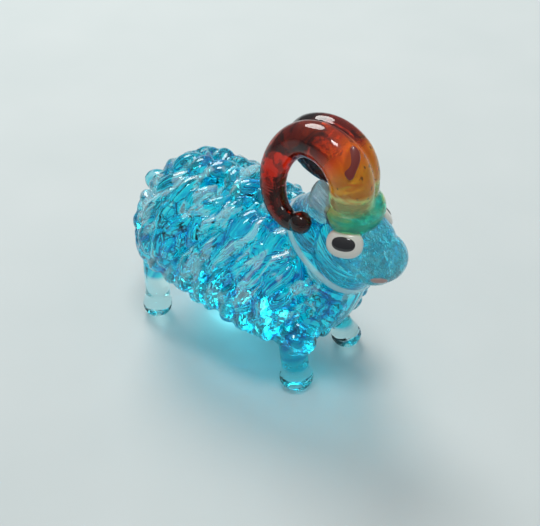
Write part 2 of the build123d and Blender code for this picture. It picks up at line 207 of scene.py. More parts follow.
# A socket that can be added, multiplied and so on: each operator adds one Math node.
class Wire:
    def __init__(self, tree, socket=None):
        self.tree = tree
        self.socket = socket

    # Any node: its settings first, then what goes into its sockets. Returns the output asked for.
    def make(self, kind, inputs=None, out=0, stops=None, **settings):
        node = self.tree.nodes.new(kind)
        for key, value in settings.items():
            setattr(node, key, value)
        if stops:
            ramp = node.color_ramp
            while len(ramp.elements) < len(stops):
                ramp.elements.new(1.0)
            for element, (place, colour) in zip(ramp.elements, stops):
                element.position = place
                element.color = colour
        for key, value in (inputs or {}).items():
            if isinstance(value, Wire):
                self.tree.links.new(value.socket, node.inputs[key])
            else:
                node.inputs[key].default_value = value
        return Wire(self.tree, node.outputs[out])

    def math(self, operation, *values):
        return self.make("ShaderNodeMath", dict(enumerate((self, *values))), operation=operation)

    def __add__(self, other):
        return self.math("ADD", other)

    def __radd__(self, other):
        return self.math("ADD", other)

    def __sub__(self, other):
        return self.math("SUBTRACT", other)

    def __rsub__(self, other):
        return self.make("ShaderNodeMath", {0: other, 1: self}, operation="SUBTRACT")

    def __mul__(self, other):
        return self.math("MULTIPLY", other)

    def __rmul__(self, other):
        return self.math("MULTIPLY", other)

    def axis(self, name):
        return self.make("ShaderNodeSeparateXYZ", {0: self}, out=name)

    def noise(self, scale, detail=2.0, distortion=0.0):
        inputs = {"Vector": self, "Scale": scale, "Detail": detail, "Distortion": distortion}
        return self.make("ShaderNodeTexNoise", inputs)

    def ramp(self, stops):
        return self.make("ShaderNodeValToRGB", {0: self}, stops=stops)

    # 0 below low, 1 above high and a smooth step from one to the other.
    def between(self, low, high):
        inputs = {"Value": self, "From Min": low, "From Max": high}
        return self.make("ShaderNodeMapRange", inputs, interpolation_type="SMOOTHSTEP")

    # The other way round: 1 below low and 0 above high.
    def beneath(self, low, high):
        return 1.0 - self.between(low, high)

    # Up over the one span and down over the other.
    def band(self, rise, fall):
        return self.between(*rise) * self.beneath(*fall)

    def mix(self, factor, first, second):
        inputs = {0: factor, 6: first, 7: second}
        return self.make("ShaderNodeMix", inputs, out=2, data_type="RGBA")

    # Coordinates for clouds drawn out along a slope in the XZ plane: turned about Y, then
    # divided by the size of a cloud along the slope, along Y and square to the slope.
    def drawnOut(self, turn, size):
        inputs = {"Vector": self, "Rotation": (0.0, turn, 0.0), "Scale": size}
        return self.make("ShaderNodeMapping", inputs, vector_type="TEXTURE")

    def stretched(self, scale):
        return self.make("ShaderNodeMapping", {"Vector": self, "Scale": scale})

    def bump(self, height, distance):
        return self.make("ShaderNodeBump", {"Height": height, "Distance": distance})


def rgb(red, green, blue):
    return (red, green, blue, 1.0)


# Starts a material: returns it, a wire with the Object coordinates and its output node.
def startMaterial(name):
    material = bpy.data.materials.new(name)
    material.use_nodes = True
    tree = material.node_tree
    tree.nodes.clear()
    output = tree.nodes.new("ShaderNodeOutputMaterial")
    place = Wire(tree).make("ShaderNodeTexCoord", out="Object")
    return material, place, output


glassIndex = 1.5
cloudyRoughness = 0.25


# Glass, clouded by the share milk in the colour milkColour. Lamps shine through it with the tint
# look["shade"] instead of being blocked, so its shadow is coloured like a real one. Where the
# look has an inside, the light that crosses the glass is tinted by it.
def finishGlass(material, wire, output, look, colour, bump, milk, milkColour):
    glass = wire.make("ShaderNodeBsdfPrincipled", {
        "Base Color": colour, "Roughness": 0.0, "IOR": glassIndex, "Transmission Weight": look["clear"],
        "Normal": bump,
    })
    cloudy = wire.make("ShaderNodeBsdfPrincipled", {"Base Color": milkColour, "Roughness": cloudyRoughness})
    glass = wire.make("ShaderNodeMixShader", {0: milk, 1: glass, 2: cloudy})
    shadow = wire.make("ShaderNodeBsdfTransparent", {"Color": look["shade"]})
    shadowRay = wire.make("ShaderNodeLightPath", out="Is Shadow Ray")
    surface = wire.make("ShaderNodeMixShader", {0: shadowRay, 1: glass, 2: shadow})
    wire.tree.links.new(surface.socket, output.inputs["Surface"])
    if "inside" in look:
        inputs = {"Color": look["inside"], "Density": look["density"]}
        volume = wire.make("ShaderNodeVolumeAbsorption", inputs)
        wire.tree.links.new(volume.socket, output.inputs["Volume"])
    return material


# Gives a piece its finish, hides the nodes that it stands for, and hangs it on the body that it rides on.
def dress(piece, material, slot, *nodes):
    piece.data.materials.clear()
    piece.data.materials.append(material)
    if nodes:
        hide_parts(*nodes)
    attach(piece, "root")


aqua = {
    "clear": 1.0, "shade": rgb(0.4, 0.47, 0.5), "inside": rgb(0.02, 0.95, 0.99), "density": 80.0,
    # The fleece, with painted shade in its grooves, and its pale leaves.
    "relief": 1.7, "clouds": 2.0, "upper": (8.0, 13.0), "upperMore": 0.15, "less": 0.56,
    "leafTurn": radians(-67.0), "leafSize": (4.5 * mm, 3.0 * mm, 1.3 * mm), "leafSwirl": 0.6,
    "paleLeaf": (0.52, 0.6), "paleAbove": (9.5, 14.0), "paleTo": (-0.8, -0.4), "paleShare": 0.7,
    "pale": rgb(0.7, 0.97, 0.99),
    # The head, the stripe and the navy band. Rises and falls are counted from the stripe.
    "headTurn": radians(36.6), "streakSize": (7.0 * mm, 3.0 * mm, 0.75 * mm), "streakSwirl": 0.5,
    "stripeAt": 19.4, "headRise": (0.3, 0.7), "faceRise": (0.4, 1.0),
    "stripeRise": (-0.75, -0.5), "stripeFall": (0.3, 0.55), "stripeShare": 0.9,
    "stripe": rgb(0.9, 0.98, 0.99),
    "navyRise": (0.5, 0.8), "navyFall": (1.4, 2.6), "navyEnds": (8.5, 12.0), "navyShare": 0.8,
    "navy": rgb(0.006, 0.14, 0.34),
    "seedyLean": 0.15, "seedyFrom": (15.0, 16.4), "seedScale": 1000.0,
    "earsAbove": (22.6, 23.6), "earsBehind": (9.6, 10.4), "ears": rgb(0.86, 0.97, 0.98),
    # The legs.
    "clearBelow": 6.6, "front": (-8.0, 0.0), "frontLess": 3.6, "clearEdge": (-0.4, 0.4),
    "legs": rgb(0.96, 0.99, 0.99), "seedyFeet": (0.7, 1.9),
    "shinAhead": (2.0, 4.0), "shinRise": (3.2, 3.8), "shinFall": (5.4, 6.4), "shin": rgb(0.002, 0.66, 0.84),
    # Ripples in the surface, and shares of milk.
    "bump": 0.12 * mm, "rippleScale": 420.0, "ripple": 0.6,
    "seedBump": 2.2, "footBump": 2.0, "faceBump": 2.0,
    "stripeMilk": 0.55, "earMilk": 0.22, "leafMilk": 0.27, "seedMilk": 0.06, "milk": rgb(0.78, 0.9, 0.93),
    # From navy in the grooves, which is painted shade, over aqua to almost clear on the lobes.
    "fleeceShadeStops": (
        (0.0, rgb(0.0005, 0.07, 0.34)), (0.2, rgb(0.001, 0.24, 0.62)), (0.38, rgb(0.003, 0.58, 0.84)),
        (0.62, rgb(0.015, 0.8, 0.93)), (0.82, rgb(0.2, 0.92, 0.97)), (1.0, rgb(0.75, 0.98, 0.99)),
    ),
    "headStops": (
        (0.34, rgb(0.001, 0.16, 0.42)), (0.43, rgb(0.005, 0.52, 0.76)), (0.54, rgb(0.03, 0.76, 0.9)),
        (0.62, rgb(0.4, 0.9, 0.96)), (0.7, rgb(0.9, 0.98, 0.99)),
    ),
    "seedStops": ((0.4, rgb(0.03, 0.68, 0.86)), (0.5, rgb(0.3, 0.9, 0.96)), (0.58, rgb(0.9, 0.99, 0.99))),
}


# Aqua glass, coloured in its skin. On the fleece a number made of the attribute "relief" (how
# far a point stands over its surroundings in millimetres), slanting clouds and a little more
# above the belly runs from navy in the grooves over aqua to almost clear on the lobes; the navy
# in the grooves is painted shade, and the fleece is darker towards the belly. Where the clouds
# are thickest they make pale leaves. On the head clouds drawn out along the cheek do the same.
# A pale stripe and a navy band part head and fleece: both follow "across", the height in
# millimetres square to the stripe. The muzzle and the feet are full of seeds, the ears are
# clear, and so are the legs below a height that drops towards the front ones.
def makeAqua():
    look = aqua
    material, place, output = startMaterial("aquaGlass")
    relief = place.make("ShaderNodeAttribute", out="Fac", attribute_name="relief")
    x, z = (place.axis(name) * 1000.0 for name in "XZ")  # in millimetres
    across = place.drawnOut(look["headTurn"], (mm, mm, mm)).axis("Z") - look["stripeAt"]

    leaf = place.drawnOut(look["leafTurn"], look["leafSize"]).noise(1.0, distortion=look["leafSwirl"])
    # Low values, in the grooves between the lobes, give navy: painted shade.
    lobes = relief * look["relief"] + leaf * look["clouds"] + z.between(*look["upper"]) * look["upperMore"]
    fleeceColour = (lobes - look["less"]).ramp(look["fleeceShadeStops"])
    pale = leaf.between(*look["paleLeaf"]) * z.between(*look["paleAbove"])
    fleeceColour = place.mix(pale * look["paleShare"], fleeceColour, look["pale"])

    streaks = place.drawnOut(look["headTurn"], look["streakSize"]).noise(1.0, distortion=look["streakSwirl"])
    headColour = streaks.ramp(look["headStops"])
    navy = across.band(look["navyRise"], look["navyFall"]) * x.beneath(*look["navyEnds"])
    headColour = place.mix(navy * look["navyShare"], headColour, look["navy"])
    seedy = (x + z * look["seedyLean"]).between(*look["seedyFrom"])
    seeds = place.noise(look["seedScale"])
    headColour = place.mix(seedy, headColour, seeds.ramp(look["seedStops"]))

    colour = place.mix(across.between(*look["headRise"]), fleeceColour, headColour)
    stripe = across.band(look["stripeRise"], look["stripeFall"])
    colour = place.mix(stripe * look["stripeShare"], colour, look["stripe"])
    ears = z.between(*look["earsAbove"]) * x.beneath(*look["earsBehind"])
    colour = place.mix(ears, colour, look["ears"])
    clearBelow = look["clearBelow"] - x.between(*look["front"]) * look["frontLess"]
    colour = place.mix((clearBelow - z).between(*look["clearEdge"]), colour, look["legs"])
    shin = x.between(*look["shinAhead"]) * z.band(look["shinRise"], look["shinFall"])
    colour = place.mix(shin, colour, look["shin"])

    feet = z.beneath(*look["seedyFeet"])
    face = across.between(*look["faceRise"]) * (1.0 - seedy)
    waves = place.noise(look["rippleScale"], 1.0) * look["ripple"] + seeds * seedy * look["seedBump"]
    waves = waves + seeds * feet * look["footBump"] + streaks * face * look["faceBump"]
    pale = pale * across.beneath(*look["paleTo"])
    milk = stripe * look["stripeMilk"] + ears * look["earMilk"]
    milk = milk + pale * look["leafMilk"] + seedy * look["seedMilk"]
    bump = place.bump(waves, look["bump"])
    return finishGlass(material, place, output, look, colour, bump, milk, look["milk"])


hornLook = {
    "clear": 0.94, "shade": rgb(0.5, 0.22, 0.1), "cloudScale": 330.0, "cloudSwirl": 0.8, "cloudShift": 0.1,
    "patchScale": 380.0, "patchSwirl": 1.2, "patchMore": 0.15, "patchNoise": (0.57, 0.63),
    "patchFrom": (0.27, 0.34), "patchShare": 0.85, "patch": rgb(0.05, 0.008, 0.004),
    "speckScale": 1100.0, "speckNoise": (0.6, 0.68), "speckShare": 0.7, "speck": rgb(0.06, 0.008, 0.004),
    "farSide": (1.2, 2.6), "greenTo": (0.3, 0.4), "greenShare": 0.35, "green": rgb(0.5, 0.8, 0.1),
    # The collar: how its colours change from their start, and its wavy upper end.
    "swirlScale": (220.0, 220.0, 600.0), "swirl": 1.6, "collarLow": 22.6, "collarAhead": 11.0,
    "upwards": 0.2, "backwards": 0.1, "swirling": 1.5, "collarWave": 2.4, "collarTop": (26.9, 28.1),
    "collarTo": (0.12, 0.16),
    # Ripples in the surface, and shares of milk.
    "bump": 0.12 * mm, "swirlBump": 1.6, "swirlBumpTo": (26.0, 28.0), "cloudBump": 0.5,
    "collarMilk": 0.18, "hornLess": 0.12,
    "shankMilk": 0.34, "shankRise": (0.05, 0.09), "shankFall": (0.22, 0.32),
    "hornStops": (
        (0.03, rgb(1.0, 0.7, 0.1)), (0.07, rgb(1.0, 0.28, 0.003)), (0.23, rgb(1.0, 0.2, 0.002)),
        (0.29, rgb(0.85, 0.07, 0.006)), (0.45, rgb(0.72, 0.03, 0.006)), (0.7, rgb(0.62, 0.02, 0.006)),
        (0.84, rgb(0.3, 0.01, 0.005)), (0.93, rgb(0.03, 0.003, 0.003)), (1.0, rgb(0.008, 0.001, 0.001)),
    ),
    "collarStops": (
        (0.0, rgb(0.005, 0.8, 0.62)), (0.28, rgb(0.06, 0.86, 0.5)), (0.48, rgb(0.4, 0.9, 0.35)),
        (0.7, rgb(0.9, 0.95, 0.3)), (1.0, rgb(1.0, 0.92, 0.4)),
    ),
}


# Horn glass. The attribute "share", how far along the horn a point is, shifted a little by
# clouds, runs from amber over red to almost black at the tip; past the amber, larger clouds make
# dark patches, and a fine noise dark specks. The far horn's shank is greener. Below a wavy
# height the shank is the collar: teal at the bottom, then green and yellow, in swirls.
def makeHornGlass():
    look = hornLook
    material, place, output = startMaterial("hornGlass")
    share = place.make("ShaderNodeAttribute", out="Fac", attribute_name="share")
    x, y, z = (place.axis(name) * 1000.0 for name in "XYZ")  # in millimetres
    cloud = place.noise(look["cloudScale"], distortion=look["cloudSwirl"])
    colour = (share + (cloud - 0.5) * look["cloudShift"]).ramp(look["hornStops"])
    patches = place.noise(look["patchScale"], 3.0, look["patchSwirl"]) + share * look["patchMore"]
    patches = patches.between(*look["patchNoise"]) * share.between(*look["patchFrom"])
    colour = place.mix(patches * look["patchShare"], colour, look["patch"])
    specks = place.noise(look["speckScale"]).between(*look["speckNoise"])
    colour = place.mix(specks * look["speckShare"], colour, look["speck"])
    greener = y.between(*look["farSide"]) * share.beneath(*look["greenTo"])
    colour = place.mix(greener * look["greenShare"], colour, look["green"])

    swirl = place.stretched(look["swirlScale"]).noise(1.0, distortion=look["swirl"])
    height = (z - look["collarLow"]) * look["upwards"] + (look["collarAhead"] - x) * look["backwards"]
    collar = (height + (swirl - 0.5) * look["swirling"]).ramp(look["collarStops"])
    wavyHeight = z + (swirl - 0.5) * look["collarWave"]
    past = wavyHeight.between(*look["collarTop"]).math("MAXIMUM", share.between(*look["collarTo"]))
    colour = place.mix(past, collar, colour)
    shank = share.band(look["shankRise"], look["shankFall"])
    milk = look["collarMilk"] - look["hornLess"] * past + look["shankMilk"] * shank
    waves = swirl * z.beneath(*look["swirlBumpTo"]) * look["swirlBump"] + cloud * look["cloudBump"]
    return finishGlass(material, place, output, look, colour, place.bump(waves, look["bump"]), milk, colour)


enamelLook = {
    "scale": 900.0, "clouds": 0.25, "darker": 0.8, "coat": 0.6, "coatRoughness": 0.03, "bump": 0.03 * mm,
}


# Opaque glass: one colour with faint darker clouds, a shallow ripple and a glossy coat.
def makeEnamel(name, colour, roughness):
    look = enamelLook
    material, place, output = startMaterial(name)
    waves = place.noise(look["scale"])
    darker = rgb(*(level * look["darker"] for level in colour[:3]))
    enamel = place.make("ShaderNodeBsdfPrincipled", {
        "Base Color": place.mix(waves * look["clouds"], colour, darker), "Roughness": roughness,
        "IOR": glassIndex, "Coat Weight": look["coat"], "Coat Roughness": look["coatRoughness"],
        "Normal": place.bump(waves, look["bump"]),
    })
    place.tree.links.new(enamel.socket, output.inputs["Surface"])
    return material


aquaGlass = makeAqua()
hornGlass = makeHornGlass()
whiteGlass = makeEnamel("whiteGlass", rgb(0.8, 0.79, 0.72), 0.2)
blackGlass = makeEnamel("blackGlass", rgb(0.012, 0.012, 0.014), 0.1)
pinkGlass = makeEnamel("pinkGlass", rgb(0.46, 0.29, 0.27), 0.3)
rustGlass = makeEnamel("rustGlass", rgb(0.2, 0.018, 0.01), 0.25)
print("stage: materials made")

core = {
    "x": -3.8 * mm, "z": 12.5 * mm, "halfLength": 12.0 * mm, "radius": 6.8 * mm, "rounding": 5.4 * mm,
    "pitch": radians(8.0), "sunk": 0.2 * mm, "ripple": 0.12 * mm, "ripples": 9, "rippleRun": 2.2 * mm,
    "almost": 0.999,  # places stop just short of the ends, where the rounding is square to the axis
}
coreAxis = np.array([cos(core["pitch"]), 0.0, -sin(core["pitch"])])
coreUp = np.array([sin(core["pitch"]), 0.0, cos(core["pitch"])])
coreSide = np.array([0.0, -1.0, 0.0])
coreMiddle = np.array([core["x"], 0.0, core["z"]])
coreRear = coreMiddle - coreAxis * core["halfLength"]
coreFront = coreMiddle + coreAxis * core["halfLength"]


# Places on the core: along its axis, and an angle round it, 0 on the right and 90 on top.
# Past the straight part the radius follows the rounding's circle. Returns the point on the
# surface, the outward direction, the forward direction and the direction up round the barrel.
def corePlace(along, angle):
    along = np.asarray(along, dtype=float)
    angle = np.asarray(angle, dtype=float)
    reach = core["halfLength"] - core["rounding"]
    past = np.clip(np.abs(along) - reach, 0, core["rounding"] * core["almost"])
    radius = core["radius"] - core["rounding"] + np.sqrt(core["rounding"] ** 2 - past**2)
    tilt = np.arcsin(past / core["rounding"]) * np.sign(along)
    c, s = np.cos(angle)[..., None], np.sin(angle)[..., None]
    spoke = coreSide * c + coreUp * s
    centre = coreMiddle + coreAxis * along[..., None] + spoke * radius[..., None]
    outward = spoke * np.cos(tilt)[..., None] + coreAxis * np.sin(tilt)[..., None]
    forward = coreAxis * np.cos(tilt)[..., None] - spoke * np.sin(tilt)[..., None]
    roundUp = coreUp * c - coreSide * s
    return centre, outward, forward, roundUp


# The core itself: its places, sunk a little under the fleece, with ripples round the barrel whose
# phase wanders along it. The rings stand closer towards the ends.
def makeCore(rings=60, around=72):
    along = core["halfLength"] * np.sin(np.linspace(-1, 1, rings) * pi / 2) * core["almost"]
    angle = 2 * pi * np.arange(around) / around
    centre, outward, _, _ = corePlace(*np.meshgrid(along, angle, indexing="ij"))
    phase = 3 * np.sin(along[:, None] / core["rippleRun"])
    ripple = core["ripple"] * np.sin(angle * core["ripples"] + phase)
    points = centre - outward * (core["sunk"] + ripple[..., None])
    points = np.concatenate([coreRear[None], points.reshape(-1, 3), coreFront[None]])
    quads, tris = ringFaces(rings, around)
    return points, quads[:, ::-1], tris[:, ::-1]


# Lobes laid on the core: places along it and round it, in millimetres and degrees. A slope of 0
# lies along the core and one of 90 runs up round it; lift is the middle's height over the core.
def layLobes(along, angle, slope, lift, length, width, thick, arch=0.0, sway=0.0, **shape):
    centre, outward, forward, roundUp = corePlace(along * mm, np.radians(angle))
    slope = np.radians(slope)[:, None]
    slant = unit(forward * np.cos(slope) + roundUp * np.sin(slope))
    centre = centre + outward * (lift * mm)[:, None]
    one = np.ones(len(along))
    return makePods(
        centre, slant, outward, length * mm * one, width * mm * one, thick * mm * one,
        arch * mm * one, sway * mm * one, **shape
    )


fleece = {
    "pitch": 2.1, "slope": 74.0, "lift": 0.6, "length": 5.2, "width": 2.15, "thick": 2.0,
    "arch": 0.35, "sway": 0.4, "sizes": (0.85, 1.15),
    "dropFrom": -5.0, "dropRun": 4.0, "upperDrop": 0.55, "lowerDrop": 0.25,
    "strays": (0.3, 3, 11, 0.1),  # along the band, round it, in slope and in lift
    # Two rows: shift along the band in pitches, turn round the core, size, and how far it is sunk.
    "rows": ((0.0, 0.0, 1.0, 0.0), (0.5, -13.5, 0.72, 0.25)),
    "beads": 34, "beadsFrom": 3.0, "beadSize": (0.7, 1.5), "beadLong": 1.25, "beadSpread": 14,
    "beadLift": (0.75, 1.0),
}
# Angle round the core, and the rear and front ends.
bands = {
    "upper": (62.0, -9.6, 8.6), "high": (35.0, -9.6, 10.2), "middle": (8.0, -9.6, 10.56),
    "low": (-19.0, -9.6, 10.56), "belly": (-46.0, -5.0, 6.72),
}


# One band of the fleece: big slanting leaves, smaller ones in the groove under them, and beads.
# It lies lower towards the rear, most of all on the upper rear corner, beside the tail.
def makeBand(angle, rear, front):
    under = angle < 0
    count = int((front - rear) / fleece["pitch"])
    along = rear + (np.arange(count) + 0.5) * fleece["pitch"]
    drop = fleece["upperDrop"] if angle > 20 else fleece["lowerDrop"]
    rearDrop = np.clip((fleece["dropFrom"] - along) / fleece["dropRun"], 0, 1) * drop
    onward, turning, sloping, lifting = fleece["strays"]
    forms = []
    for shift, turn, size, sunk in fleece["rows"]:
        forms.append(layLobes(
            along + shift * fleece["pitch"] + stray(onward, count),
            angle + turn + stray(turning, count),
            fleece["slope"] + stray(sloping, count),
            fleece["lift"] - sunk + stray(lifting, count) - rearDrop,
            fleece["length"] * size * varied(*fleece["sizes"], count),
            fleece["width"] * size * varied(*fleece["sizes"], count),
            fleece["thick"] * varied(*fleece["sizes"], count),
            fleece["arch"], fleece["sway"] * stray(1, count),
        ))
    beads = fleece["beads"] * (2 if under else 1)
    size = varied(*fleece["beadSize"], beads)
    forms.append(layLobes(
        varied(rear if under else fleece["beadsFrom"], front, beads),
        angle + stray(fleece["beadSpread"], beads), varied(0, 180, beads),
        varied(*fleece["beadLift"], beads), size * fleece["beadLong"], size, size,
        rings=8, around=10, blunt=0.5,
    ))
    return joinForms(forms)


chest = {
    "beads": 90, "centre": (7.6, 0, 12.4), "pitch": radians(21), "halfHeight": 8.4, "radius": 4.05,
    "heights": (-0.97, 0.22), "angles": (38, 125), "size": (1.0, 1.6), "long": 1.35, "thick": 1.1,
}


# Beads on the sides of the chest, from the belly up to the throat, on an egg round the neck's
# line; heights run along the neck and angles round it, 0 ahead and 90 on the right.
def makeChest():
    beads, tall, wide = chest["beads"], chest["halfHeight"], chest["radius"]
    height = varied(*chest["heights"], beads)
    angle = np.radians(varied(*chest["angles"], beads))
    axis = np.array([sin(chest["pitch"]), 0.0, cos(chest["pitch"])])
    ahead = np.array([cos(chest["pitch"]), 0.0, -sin(chest["pitch"])])
    spoke = ahead * np.cos(angle)[:, None] + coreSide * np.sin(angle)[:, None]
    radius = np.sqrt(1 - height**2)
    centre = np.array(chest["centre"]) + axis * (tall * height)[:, None] + spoke * (wide * radius)[:, None]
    outward = unit(axis * (height / tall)[:, None] + spoke * (radius / wide)[:, None])
    around = unit(np.cross(axis, outward))
    turn = varied(0, pi, beads)[:, None]
    along = around * np.cos(turn) + np.cross(outward, around) * np.sin(turn)
    size = varied(*chest["size"], beads) * mm
    length, thick, none = size * chest["long"], size * chest["thick"], np.zeros(beads)
    return makePods(centre * mm, along, outward, length, size, thick, none, none, 8, 10, 0.5)


# Centre, radius and count of beads at each; the angles and rises span the outer and lower half.
cuffs = {"shoulder": ((6.6, -4.3, 7.6), 1.9, 16), "haunch": ((-13.2, -4.2, 9.6), 1.7, 10)}
cuffBeads = {"angles": (-2.9, 0.3), "rises": (-0.75, 0.6), "size": (1.2, 2.0), "long": 1.3}


# Big beads on the outer and lower half of a ball, where a leg leaves the fleece.
def makeCuff(centre, radius, count):
    angle = varied(*cuffBeads["angles"], count)
    rise = varied(*cuffBeads["rises"], count)
    level = np.sqrt(1 - rise**2)
    outward = np.stack([np.cos(angle) * level, np.sin(angle) * level, rise], axis=-1)
    along = unit(np.cross(outward, unit(stray(1, (count, 3)))))
    centre = (np.array(centre) + outward * radius) * mm
    size = varied(*cuffBeads["size"], count) * mm
    none = np.zeros(count)
    return makePods(centre, along, outward, size * cuffBeads["long"], size, size, none, none, 8, 10, 0.5)


ridge = {
    "lobes": 8, "rear": -9.6, "pitch": 2.1, "slope": 62.0, "liftAt": (-9.0, -7.0, -4.0, 0.0),
    "lift": (0.0, 0.55, 1.0, 1.25), "length": (3.8, 4.6), "width": (2.2, 2.7), "thick": (1.8, 2.2),
    "arch": 0.3, "sway": 0.2, "strays": (0.2, 5, 10, 0.1),
}


# Lobes along the back that slant left and right in turn and rise from the tail forwards.
def makeRidge():
    count = ridge["lobes"]
    along = ridge["rear"] + (np.arange(count) + 0.5) * ridge["pitch"]
    onward, turning, sloping, lifting = ridge["strays"]
    slope = np.where(np.arange(count) % 2 == 0, ridge["slope"], -ridge["slope"]) + stray(sloping, count)
    lift = np.interp(along, ridge["liftAt"], ridge["lift"])
    return layLobes(
        along + stray(onward, count), 90 + stray(turning, count), slope, lift + stray(lifting, count),
        varied(*ridge["length"], count), varied(*ridge["width"], count), varied(*ridge["thick"], count),
        ridge["arch"], ridge["sway"],
    )


rump = {
    "rear": -12.0, "slope": 25, "upperDrop": 0.35, "length": (2.6, 3.6), "width": (1.6, 2.0),
    "thick": (1.4, 1.7), "arch": 0.2, "sway": 0.2, "strays": (5, 15, 0.1),
    # Rings of lobes: share of the way to the rear end, count, first angle and lift.
    "rings": ((0.8, 14, 10.0, 0.35), (0.88, 12, 0.0, 0.4), (0.95, 9, 15.0, 0.3), (0.985, 7, 20.0, 0.25)),
}


# Rings of lobes round the core's rear end, like a rosette, lower on the upper half.
def makeRump():
    turning, sloping, lifting = rump["strays"]
    forms = []
    for share, count, start, lift in rump["rings"]:
        angle = start + np.arange(count) * 360 / count + stray(turning, count)
        low = rump["upperDrop"] * np.clip(np.sin(np.radians(angle)), 0, 1)
        forms.append(layLobes(
            np.full(count, rump["rear"] * share), angle, rump["slope"] + stray(sloping, count),
            lift - low + stray(lifting, count), varied(*rump["length"], count),
            varied(*rump["width"], count), varied(*rump["thick"], count), rump["arch"], rump["sway"],
        ))
    return joinForms(forms)


tail = {"up": 1.3 * mm, "in": 0.45 * mm, "size": (4.3, 2.9, 2.8, 0.15)}  # length, width, thickness and arch


# One blunt pod that points straight back from the core's rear end.
def makeTail():
    centre = (coreRear + coreUp * tail["up"] - coreAxis * tail["in"])[None]
    size = np.array([tail["size"]]).T * mm
    return makePods(centre, -coreAxis[None], coreUp[None], *size, np.zeros(1), 20, 20, 0.4)


chestForm = joinForms([makeChest(), makeCuff(*cuffs["shoulder"]), makeCuff(*cuffs["haunch"])])
fleeceForms = [makeCore(), makeRidge(), makeRump(), makeTail(), chestForm, mirrored(chestForm)]
for band in bands.values():
    fleeceForms.extend([makeBand(*band), mirrored(makeBand(*band))])
woolNodes = ["wool_" + name + "_" + side for name in bands for side in ("right", "left")]
print("stage: fleece")

ring = {"centre": (8.0, 0, 18.2), "turn": radians(36.6), "long": 5.5, "wide": 4.1, "thick": 0.6}


# The ring of pale glass where the fleece ends: an upright oval leaning back, with round section.
def makeRing(around=96, sides=16):
    centre, turn, thick = np.array(ring["centre"]), ring["turn"], ring["thick"]
    down = np.array([cos(turn), 0, -sin(turn)])
    up = np.array([sin(turn), 0, cos(turn)])
    angle = 2 * pi * np.arange(around)[:, None, None] / around
    section = 2 * pi * np.arange(sides)[None, :, None] / sides
    spoke = ring["long"] * np.cos(angle) * down + ring["wide"] * np.sin(angle) * coreSide
    middle = (ring["long"] + ring["wide"]) / 2
    points = centre + spoke * (1 + thick * np.cos(section) / middle) + up * thick * np.sin(section)
    step, side = np.arange(around)[:, None] * sides, np.arange(sides)[None, :]
    ahead, over = (step + sides) % (around * sides), (side + 1) % sides
    quads = np.stack([step + side, ahead + side, ahead + over, step + over], axis=-1)
    return points.reshape(-1, 3) * mm, quads.reshape(-1, 4), np.zeros((0, 3), dtype=int)


# Eggs of glass: centre, radii and how far each leans forward at its top.
headEggs = {
    "skull": ((10.3, 0, 19.7), (4.4, 4.2, 4.3)),
    "neck": ((7.6, 0, 12.4), (4.1, 4.0, 8.4), radians(21)),
    "throat": ((9.4, 0, 17.2), (4.3, 4.1, 4.4), radians(15)),
    "brow": ((12.5, 0, 20.6), (3.0, 2.9, 3.2), radians(-30)),
    "muzzle": ((14.0, 0, 19.2), (3.0, 3.05, 2.6)),
    "nape": ((7.0, 0, 20.0), (3.9, 4.0, 4.0)),
    "earRight": ((8.0, -2.4, 25.0), (1.4, 0.5, 3.0), radians(6)),
    "earLeft": ((8.0, 2.4, 25.0), (1.4, 0.5, 3.0), radians(6)),
}
lowEggs = {
    "chin": ((13.5, 0, 18.4), (2.8, 2.9, 2.4)),
    "shoulderRight": ((6.6, -4.3, 7.6), (2.3, 2.1, 2.3)),
    "shoulderLeft": ((5.8, 4.0, 8.0), (2.1, 1.9, 2.3)),
    "haunchRight": ((-13.2, -4.2, 9.6), (2.2, 2.0, 2.0)),
    "haunchLeft": ((-13.2, 4.2, 9.6), (2.2, 2.0, 2.0)),
}
headForms = [makeEgg(*egg) for egg in headEggs.values()] + [makeRing()]
headForms += [makeEgg(*egg) for egg in lowEggs.values()]

# Places of each foot and of the top of its leg, and radii against height, from the flat up.
legs = {
    "rearRight": ((-13.6, -4.6), (-13.2, -4.5), "rear"),
    "rearLeft": ((-13.6, 4.6), (-13.2, 4.5), "rear"),
    "frontRight": ((6.95, -4.6), (6.35, -4.7), "front"),
    "frontLeft": ((7.55, 4.6), (5.6, 3.4), "shin"),
}
legProfiles = {
    "rear": (
        (0.0, 0.7), (0.12, 1.1), (0.5, 1.5), (1.2, 1.75), (1.9, 1.7), (2.7, 1.52),
        (3.6, 1.45), (5.0, 1.5), (6.6, 1.65), (8.5, 1.7),
    ),
    "front": (
        (0.0, 0.8), (0.12, 1.3), (0.5, 1.72), (1.2, 1.95), (1.9, 1.88), (2.6, 1.66), (3.2, 1.55),
        (4.5, 1.6), (7.0, 1.6),
    ),
    "shin": (
        (0.0, 0.7), (0.12, 1.2), (0.5, 1.6), (1.2, 1.8), (1.9, 1.74), (2.6, 1.5), (3.2, 1.35),
        (4.5, 1.25), (7.0, 1.25),
    ),
}
footHeight = 1.5


# A leg: rings stacked upwards, round a middle line that leaves the foot's place at footHeight.
# The radii are evened out over five rings, but for the two at each end.
def makeLeg(foot, top, profile, around=40, rings=56):
    heights, radii = np.array(legProfiles[profile]).T
    z = np.linspace(heights[0], heights[-1], rings)
    radius = np.interp(z, heights, radii)
    radius = np.concatenate([radius[:2], np.convolve(radius, np.ones(5) / 5, "same")[2:-2], radius[-2:]])
    lean = np.clip((z - footHeight) / (heights[-1] - footHeight), 0, 1)[:, None]
    line = np.array(foot) * (1 - lean) + np.array(top) * lean
    angle = 2 * pi * np.arange(around) / around
    circle = np.stack([np.cos(angle), np.sin(angle)], axis=-1)
    level = np.broadcast_to(z[:, None, None], (rings, around, 1))
    points = np.concatenate([line[:, None] + circle[None] * radius[:, None, None], level], axis=-1)
    points = np.concatenate([[[*line[0], z[0]]], points.reshape(-1, 3), [[*line[-1], z[-1]]]])
    quads, tris = ringFaces(rings, around)
    return points * mm, quads, tris


